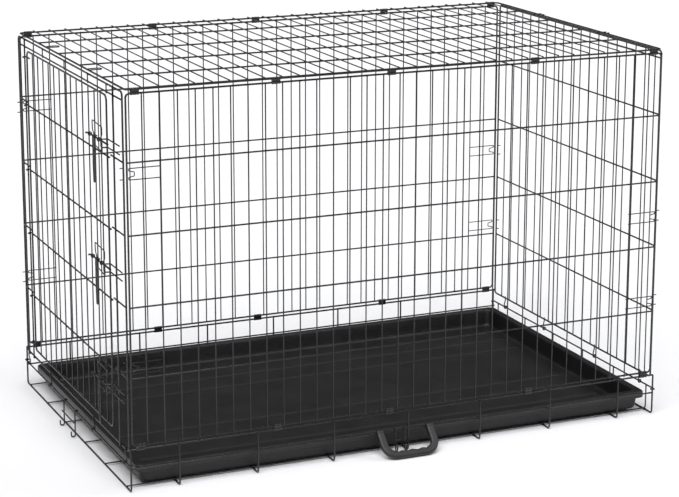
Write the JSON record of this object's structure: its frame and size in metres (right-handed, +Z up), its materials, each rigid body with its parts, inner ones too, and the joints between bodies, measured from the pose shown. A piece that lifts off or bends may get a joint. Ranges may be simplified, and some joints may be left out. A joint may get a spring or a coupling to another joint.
{
  "type": "wire dog crate",
  "caption": "Folding black wire dog crate with one hinged side door on slide-bolt latches, a plastic floor pan and a carry handle",
  "frame": {"origin": "on the ground, under the middle of the whole outline at rest", "axes": "+X along the long side, away from the door end; +Y away from the long side that carries the handle; +Z up"},
  "size_m": [1.2486, 0.8138, 0.8287],
  "materials": {
    "coated_frame_wire": "black electro-coated steel wire, satin gloss",
    "coated_floor_wire": "black electro-coated steel wire, satin gloss, scuffed where it meets the floor",
    "coated_grid_wire": "black electro-coated steel wire, satin gloss, drawn-wire sheen",
    "spring_wire": "thin black-coated spring wire, satin gloss",
    "crimped_clip": "black-coated crimped sheet steel, semi-gloss",
    "latch_wire": "black-coated steel wire, glossier where it slides",
    "hook_wire": "black-coated steel wire, satin gloss",
    "pan_plastic": "black moulded polypropylene, fine leather-like grain",
    "handle_plastic": "charcoal moulded plastic, satin"
  },
  "bodies": {
    "base": {"base_cross_wires": "coated_floor_wire", "base_end_wire_door": "coated_floor_wire", "base_end_wire_far": "coated_floor_wire", "base_top_rails": "coated_frame_wire", "base_lower_rails": "coated_frame_wire", "base_end_rail_door": "coated_frame_wire", "base_end_rail_far": "coated_frame_wire", "base_floor_wires": "coated_floor_wire"},
    "front_side": {"front_side_frame": "coated_frame_wire", "front_side_uprights": "coated_grid_wire", "front_side_crossbars": "coated_grid_wire", "front_side_corner_clips": "spring_wire", "front_side_base_clips": "crimped_clip"},
    "back_side": {"back_side_frame": "coated_frame_wire", "back_side_uprights": "coated_grid_wire", "back_side_crossbars": "coated_grid_wire", "back_side_corner_clips": "spring_wire", "back_side_base_clips": "crimped_clip"},
    "roof": {"roof_frame": "coated_frame_wire", "roof_cross_wires": "coated_grid_wire", "roof_long_wires": "coated_grid_wire", "roof_hooks": "spring_wire", "roof_front_clips": "crimped_clip", "roof_back_clips": "crimped_clip"},
    "far_end": {"far_end_frame": "coated_frame_wire", "far_end_uprights": "coated_grid_wire", "far_end_crossbars": "coated_grid_wire", "far_end_hinge_eyes": "coated_grid_wire", "far_end_catches": "spring_wire"},
    "door_end": {"door_end_frame": "coated_frame_wire", "door_end_edge_uprights": "coated_frame_wire", "door_end_uprights": "coated_grid_wire", "door_end_crossbars": "coated_grid_wire", "door_end_hinge_eyes": "coated_grid_wire", "door_end_catches": "spring_wire", "door_end_keepers": "latch_wire"},
    "door": {"door_frame": "coated_frame_wire", "door_uprights": "coated_grid_wire", "door_crossbars": "coated_grid_wire", "door_hinge_hooks": "coated_grid_wire", "latch_guides": "latch_wire", "latch_guide_eyes": "latch_wire"},
    "pan": {"pan": "pan_plastic"},
    "pan_stop": {"pan_stop_hooks": "hook_wire", "pan_stop_link": "hook_wire"},
    "carry_handle": {"carry_handle": "handle_plastic"},
    "fold_lock": {"fold_lock_hooks": "hook_wire", "fold_lock_link": "hook_wire"},
    "bolt_low": {"latch_bolt_low": "latch_wire"},
    "paddle_low": {"latch_paddle_low": "latch_wire"},
    "bolt_mid": {"latch_bolt_mid": "latch_wire"},
    "paddle_mid": {"latch_paddle_mid": "latch_wire"},
    "bolt_top": {"latch_bolt_top": "latch_wire"},
    "paddle_top": {"latch_paddle_top": "latch_wire"}
  },
  "joints": [
    {"name": "side_fold", "type": "hinge", "parent": "base", "child": "front_side", "pos_m": [0.00628, -0.35648, 0.0895], "axis": [-1, 0, 0], "range_deg": [0, 86]},
    {"name": "roof_level", "type": "hinge", "parent": "front_side", "child": "roof", "pos_m": [0.00628, -0.35648, 0.816], "axis": [-1, 0, 0], "range_deg": [-86, 0]},
    {"name": "back_side_fold", "type": "hinge", "parent": "base", "child": "back_side", "pos_m": [0.00628, 0.39752, 0.0895], "axis": [-1, 0, 0], "range_deg": [0, 86]},
    {"name": "door_end_fold", "type": "hinge", "parent": "base", "child": "door_end", "pos_m": [-0.60689, 0.02052, 0.058], "axis": [0, 1, 0], "range_deg": [0, 90]},
    {"name": "far_end_fold", "type": "hinge", "parent": "base", "child": "far_end", "pos_m": [0.61945, 0.02052, 0.058], "axis": [0, -1, 0], "range_deg": [0, 88]},
    {"name": "door_swing", "type": "hinge", "parent": "door_end", "child": "door", "pos_m": [-0.60649, 0.32952, 0.45], "axis": [0, 0, 1], "range_deg": [-170, 0]},
    {"name": "latch_low_slide", "type": "slide", "parent": "door", "child": "bolt_low", "axis": [0, -1, 0], "range_m": [-0.028, 0]},
    {"name": "latch_low_turn", "type": "hinge", "parent": "bolt_low", "child": "paddle_low", "pos_m": [-0.6143, -0.20848, 0.196], "axis": [0, -1, 0], "range_deg": [-95, 0]},
    {"name": "latch_mid_slide", "type": "slide", "parent": "door", "child": "bolt_mid", "axis": [0, -1, 0], "range_m": [-0.028, 0]},
    {"name": "latch_mid_turn", "type": "hinge", "parent": "bolt_mid", "child": "paddle_mid", "pos_m": [-0.6143, -0.20848, 0.449], "axis": [0, -1, 0], "range_deg": [-95, 0]},
    {"name": "latch_top_slide", "type": "slide", "parent": "door", "child": "bolt_top", "axis": [0, -1, 0], "range_m": [-0.028, 0]},
    {"name": "latch_top_turn", "type": "hinge", "parent": "bolt_top", "child": "paddle_top", "pos_m": [-0.6143, -0.20848, 0.704], "axis": [0, -1, 0], "range_deg": [-95, 0]},
    {"name": "pan_slide", "type": "slide", "parent": "base", "child": "pan", "axis": [1, 0, 0], "range_m": [-0.058, 0]},
    {"name": "pan_stop_swing", "type": "hinge", "parent": "base", "child": "pan_stop", "pos_m": [-0.60689, 0.02052, 0.058], "axis": [0, -1, 0], "range_deg": [-112, 0]},
    {"name": "handle_swing", "type": "hinge", "parent": "base", "child": "carry_handle", "pos_m": [0.00628, -0.35681, 0.048], "axis": [1, 0, 0], "range_deg": [-110, 0]},
    {"name": "fold_lock_swing", "type": "hinge", "parent": "base", "child": "fold_lock", "pos_m": [0.00628, -0.35681, 0.048], "axis": [1, 0, 0], "range_deg": [-100, 0]}
  ],
  "couplings": [
    {"joint": "roof_level", "follows": "side_fold", "ratio": -1},
    {"joint": "back_side_fold", "follows": "side_fold", "ratio": 1},
    {"joint": "pan_stop_swing", "follows": "pan_slide", "rad_per_m": 33.2}
  ]
}
